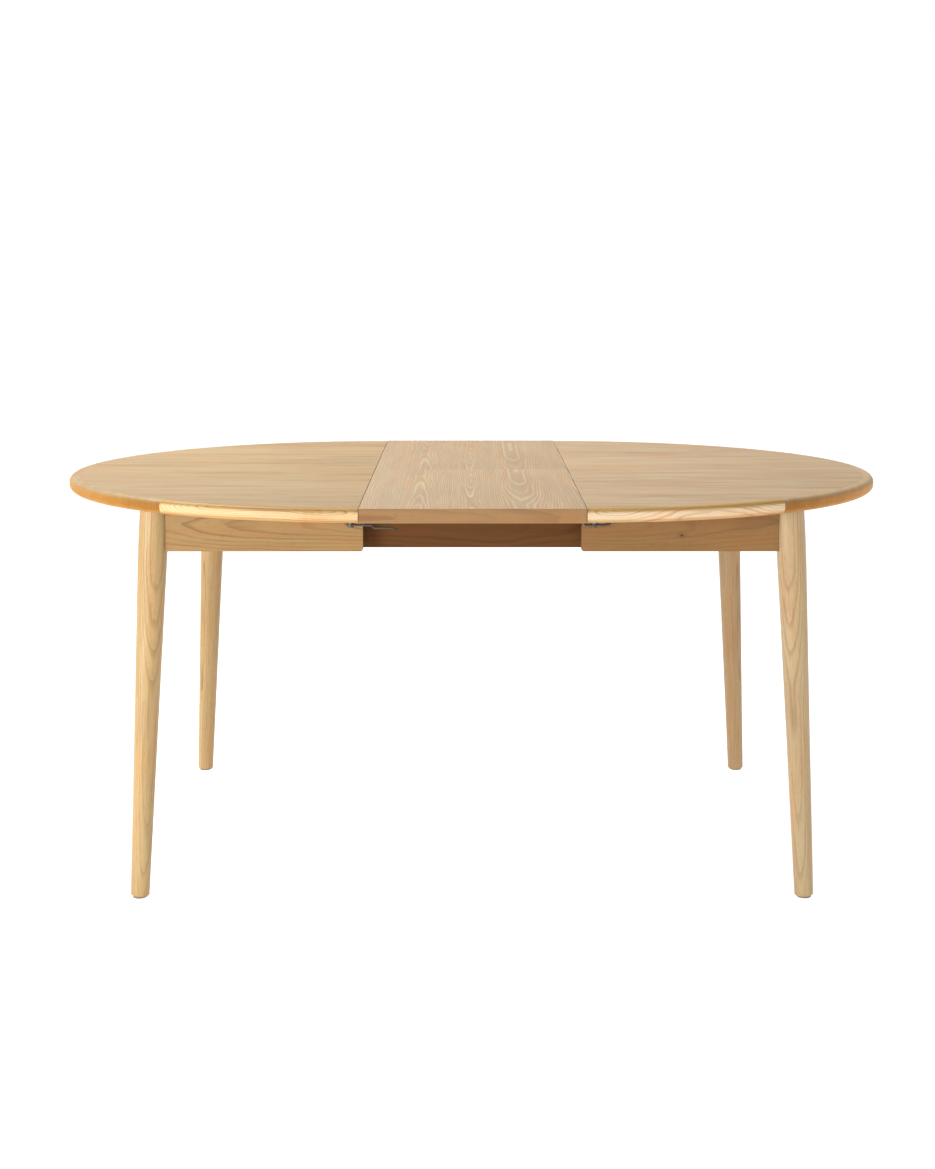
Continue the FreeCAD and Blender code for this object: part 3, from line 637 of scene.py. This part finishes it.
PLATE_MIDDLE, PLATE_STEP = 12 * MM, 9 * MM      # in from the plate's edge, either side
BRACKET_SIDE, BRACKET_MIDDLE, BRACKET_STEP = 4 * MM, 15 * MM, 12.3 * MM
DOWN = (0, 0, -1)
for side, sign in (("right", 1), ("left", -1)):
    # leg bolts: two per corner, at 45 degrees through the corner block
    bolt_low, bolt_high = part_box(side + "_leg_bolts")
    block_low, block_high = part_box(side + "_corner_blocks")
    slant = math.sqrt(0.5)
    inset = BOLT_RADIUS * slant
    tip_x = (bolt_high.x if sign > 0 else -bolt_low.x) - inset
    face_x = block_low.x if sign > 0 else block_high.x
    bolts, nuts = Piece(), Piece()
    for way in (1, -1):
        aim = Vector((-sign * slant, -way * slant, 0))
        for level in (bolt_low.z + WASHER_RADIUS, bolt_high.z - WASHER_RADIUS):
            base = Vector((sign * tip_x, way * (bolt_high.y - inset), level))
            corner = Vector((face_x, way * block_high.y, level))
            seat = base + aim * (base - corner).dot(-aim)
            bolts.add(threaded_rod(BOLT_RADIUS, BOLT_LENGTH, BOLT_PITCH), base, aim)
            nuts.add(lathe([(WASHER_RADIUS, 0), (WASHER_RADIUS, WASHER_THICK * 0.8),
                            (WASHER_RADIUS * 0.96, WASHER_THICK)], 28), seat, aim)
            nuts.add(hex_nut(NUT_ACROSS, NUT_HIGH, NUT_BORE), seat + aim * WASHER_THICK,
                     aim)
    bolts.finish(side + "_bolt_threads", DARK_STEEL, "zinc_steel", side + "_half",
                 side + "_leg_bolts")
    nuts.finish(side + "_bolt_nuts", ZINC, "zinc_steel", side + "_half")

    # screws up through the cleats, through the runners and through the latch plates
    screws = Piece()
    cleat_low, cleat_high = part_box(side + "_top_cleats")
    inner = cleat_low.x if sign > 0 else cleat_high.x
    outer = cleat_high.x if sign > 0 else cleat_low.x
    run_low, run_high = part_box(side + "_slide_runners")
    run_end = run_high.x if sign > 0 else run_low.x
    plate_low, plate_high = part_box(side + "_latch_plates")
    for way in (1, -1):
        for step in SIDE_CLEAT_STEPS:
            spot = Vector((inner + sign * step, way * (cleat_high.y - SIDE_CLEAT_HALF),
                           cleat_low.z))
            screws.add(screw_head(*PAN_SCREW), spot, DOWN)
        for step in END_CLEAT_STEPS:
            spot = Vector((outer - sign * END_CLEAT_HALF, way * step, cleat_low.z))
            screws.add(screw_head(*PAN_SCREW), spot, DOWN)
        for step in RUNNER_STEPS:
            spot = Vector((run_end - sign * step, way * (run_high.y - RUNNER_WEB),
                           (run_low.z + run_high.z) / 2))
            screws.add(screw_head(*PAN_SCREW), spot, (0, -way, 0))
        for step in (-PLATE_STEP, PLATE_STEP):
            spot = Vector(((plate_low.x + plate_high.x) / 2,
                           way * (plate_high.y - PLATE_MIDDLE) + step,
                           UNDER - PLATE_THICK))
            screws.add(screw_head(*PLATE_SCREW), spot, DOWN)
    screws.finish(side + "_half_screws", ZINC, "zinc_steel", side + "_half")

support_screws = Piece()
support_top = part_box("shaft_supports")[1].z
cross_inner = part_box("right_cross_rail")[0].x
for shaft in ("front_arm_shaft", "rear_arm_shaft"):
    shaft_low, shaft_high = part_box(shaft)
    shaft_y = (shaft_low.y + shaft_high.y) / 2
    for sign in (1, -1):
        for drop in SUPPORT_DROPS:
            spot = Vector((sign * (cross_inner - SUPPORT_THICK), shaft_y,
                           support_top - drop))
            support_screws.add(screw_head(*PAN_SCREW), spot, (-sign, 0, 0))
support_screws.finish("support_screws", ZINC, "zinc_steel", "center_frame")

bracket_screws = Piece()
ear_low, ear_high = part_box("leaf_pivot_brackets")
for middle in (ear_low.y + BRACKET_MIDDLE, ear_high.y - BRACKET_MIDDLE):
    for sign in (1, -1):
        for step in (-BRACKET_STEP, BRACKET_STEP):
            spot = Vector((sign * (ear_high.x - BRACKET_SIDE), middle + step,
                           UNDER - BRACKET_THICK))
            bracket_screws.add(screw_head(*BRACKET_SCREW), spot, DOWN)
bracket_screws.finish("leaf_bracket_screws", ZINC, "zinc_steel", "leaf_front")

# ---------------------------------------------------------------- floor, light, camera
def make_floor():
    """Pale floor, lit evenly enough to run into the background."""
    mesh = bpy.data.meshes.new("studio_floor")
    half = 30.0
    mesh.from_pydata([(-half, -half, 0), (half, -half, 0), (half, half, 0),
                      (-half, half, 0)], [], [(0, 1, 2, 3)])
    floor = bpy.data.objects.new("studio_floor", mesh)
    bpy.context.scene.collection.objects.link(floor)
    g = Graph("studio_white")
    g.finish(Base_Color=(0.4, 0.4, 0.4, 1), Roughness=0.9, Specular_IOR_Level=0.0,
             Emission_Color=(1, 1, 1, 1), Emission_Strength=0.88)
    mesh.materials.append(g.material)


def make_world():
    """White all round at eye level, dimmer overhead, as in a studio with a low ceiling."""
    world = bpy.data.worlds.new("studio")
    world.use_nodes = True
    tree = world.node_tree
    back = tree.nodes["Background"]
    back.inputs["Color"].default_value = (1, 1, 1, 1)
    direction = tree.nodes.new("ShaderNodeTexCoord")
    split = tree.nodes.new("ShaderNodeSeparateXYZ")
    fade = tree.nodes.new("ShaderNodeMapRange")
    fade.interpolation_type = "SMOOTHSTEP"
    # from the sine of the height angle to the strength of the light
    for key, value in (("From Min", 0.18), ("From Max", 0.55), ("To Min", 1.0),
                       ("To Max", 0.5)):
        fade.inputs[key].default_value = value
    tree.links.new(direction.outputs["Generated"], split.inputs[0])
    tree.links.new(split.outputs["Z"], fade.inputs["Value"])
    tree.links.new(fade.outputs["Result"], back.inputs["Strength"])
    bpy.context.scene.world = world


def area_light(name, place, target, size, power):
    data = bpy.data.lights.new(name, "AREA")
    data.shape = "RECTANGLE"
    data.size, data.size_y = size
    data.energy = power
    light = bpy.data.objects.new(name, data)
    light.location = place
    aim = Vector(target) - Vector(place)
    light.rotation_euler = aim.to_track_quat("-Z", "Y").to_euler()
    bpy.context.scene.collection.objects.link(light)


def make_camera():
    """Square on to the long side, a little above the top and looking 10 degrees down."""
    data = bpy.data.cameras.new("camera")
    data.lens = 55.57
    camera = bpy.data.objects.new("camera", data)
    camera.location = (-0.0133, -3.6396, 1.1574)
    pitch, roll = 0.17532, -0.0015
    camera.rotation_euler = (math.pi / 2 - pitch, 0, roll)
    bpy.context.scene.collection.objects.link(camera)
    bpy.context.scene.camera = camera


make_floor()
make_world()
area_light("key_above", place=(-1.3, 0.9, 3.4), target=(0, 0, 0.7), size=(2.0, 2.0),
           power=190)
area_light("low_fill", place=(-2.5, -2.6, 0.8), target=(0, 0, 0.65), size=(1.6, 0.7),
           power=80)
area_light("fill_right", place=(3.0, -1.8, 1.5), target=(0, 0, 0.6), size=(1.6, 1.6),
           power=14)
make_camera()
bpy.context.scene.view_settings.view_transform = "Standard"
